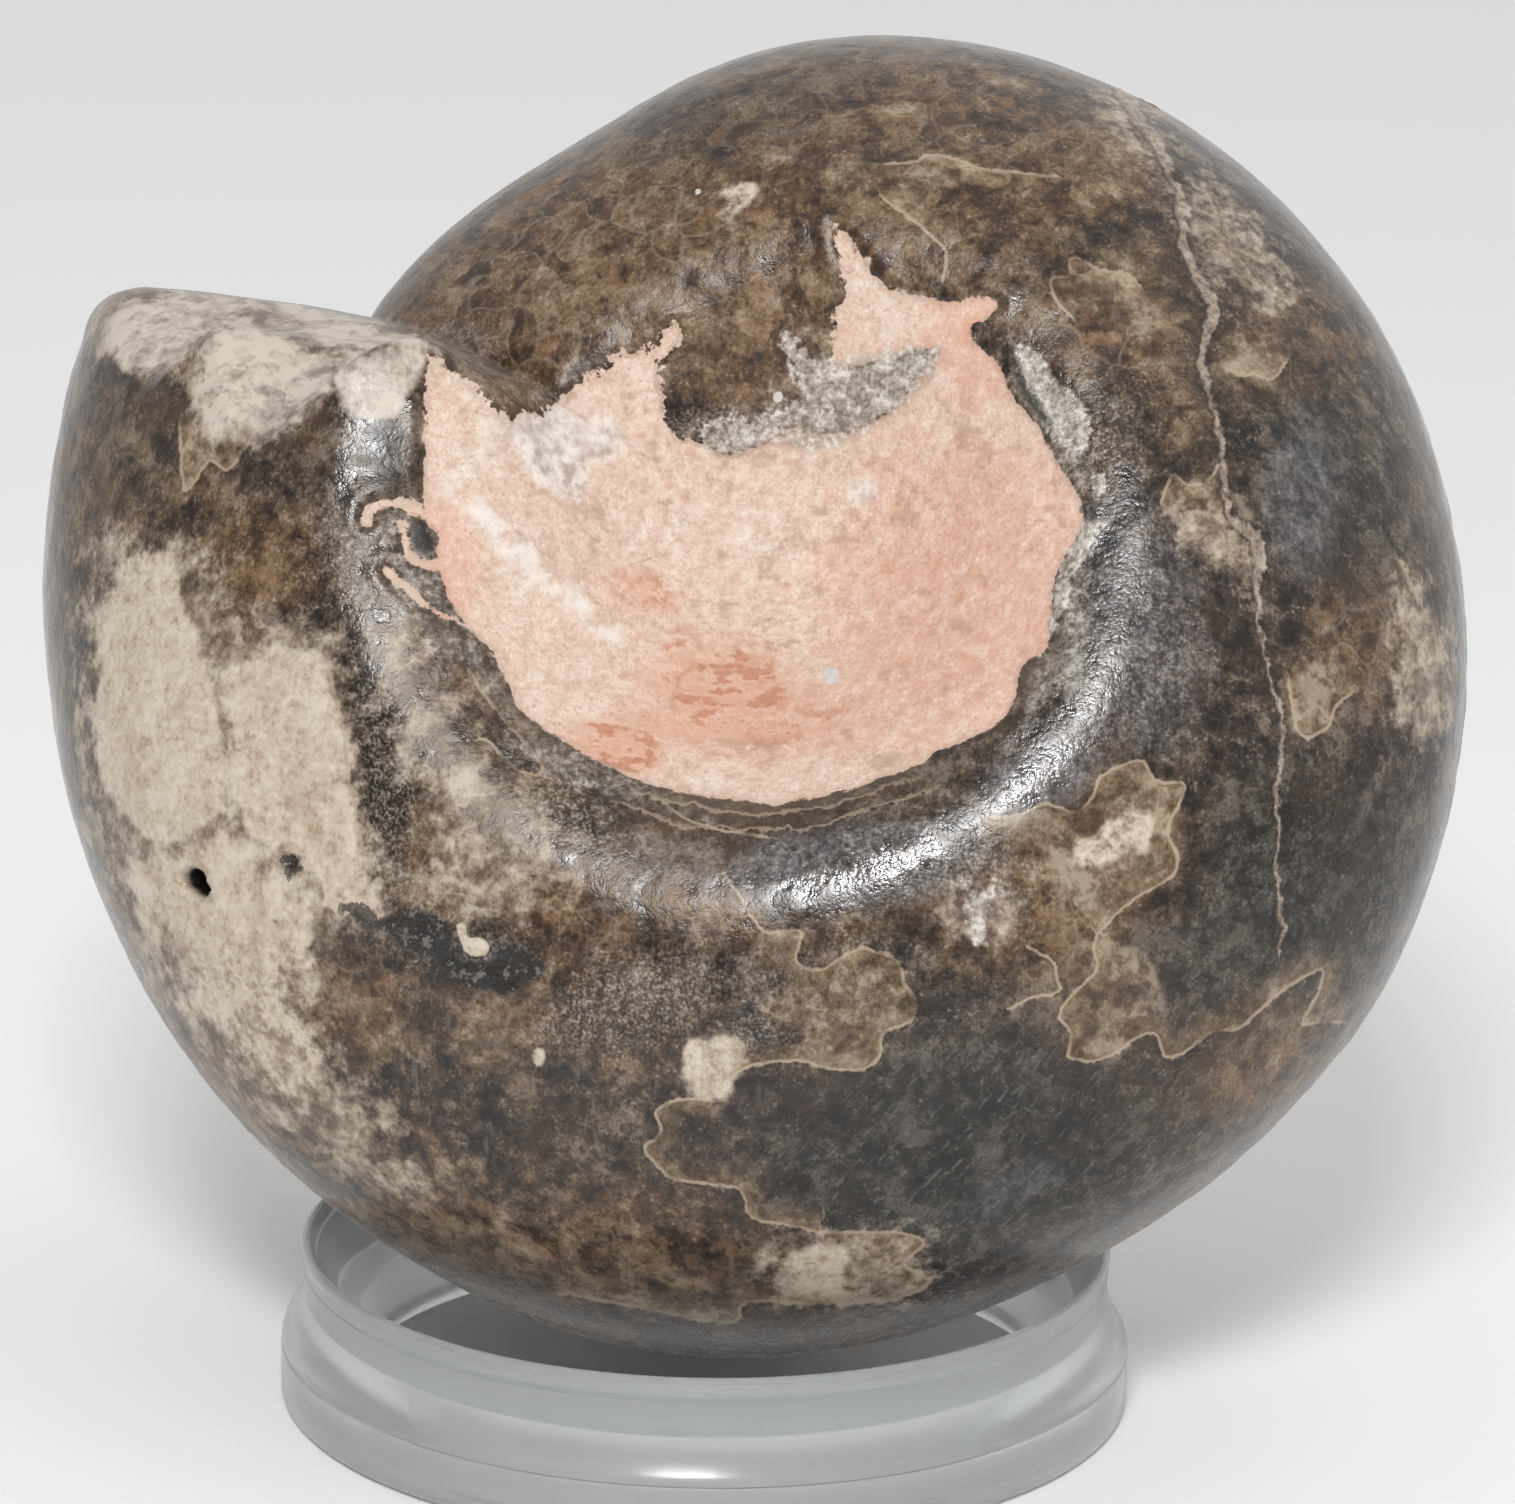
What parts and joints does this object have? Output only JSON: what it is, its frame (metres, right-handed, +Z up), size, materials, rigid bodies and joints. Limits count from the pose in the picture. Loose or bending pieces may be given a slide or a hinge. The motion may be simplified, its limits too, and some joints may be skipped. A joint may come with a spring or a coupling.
{
  "type": "fossil ammonite on ring stand",
  "caption": "Polished inflated fossil ammonite with a pink limestone umbilicus and a fluted broken end, leaning back in a low clear acrylic ring stand.",
  "frame": {"origin": "centre of the bounding box at the underside of the ring's foot", "axes": "+Z up, +X to the viewer's right across the coil, -Y towards the viewer who faces the pink umbilicus"},
  "size_m": [0.0856, 0.0658, 0.0781],
  "materials": {
    "fossil_stone": "polished brown and grey fossil stone with pale sutures, cream patches and pink limestone in the umbilicus",
    "clear_acrylic": "clear, polished, lightly scratched"
  },
  "bodies": {
    "root": {"ammonite": "fossil_stone", "ring_stand": "clear_acrylic"}
  },
  "joints": []
}
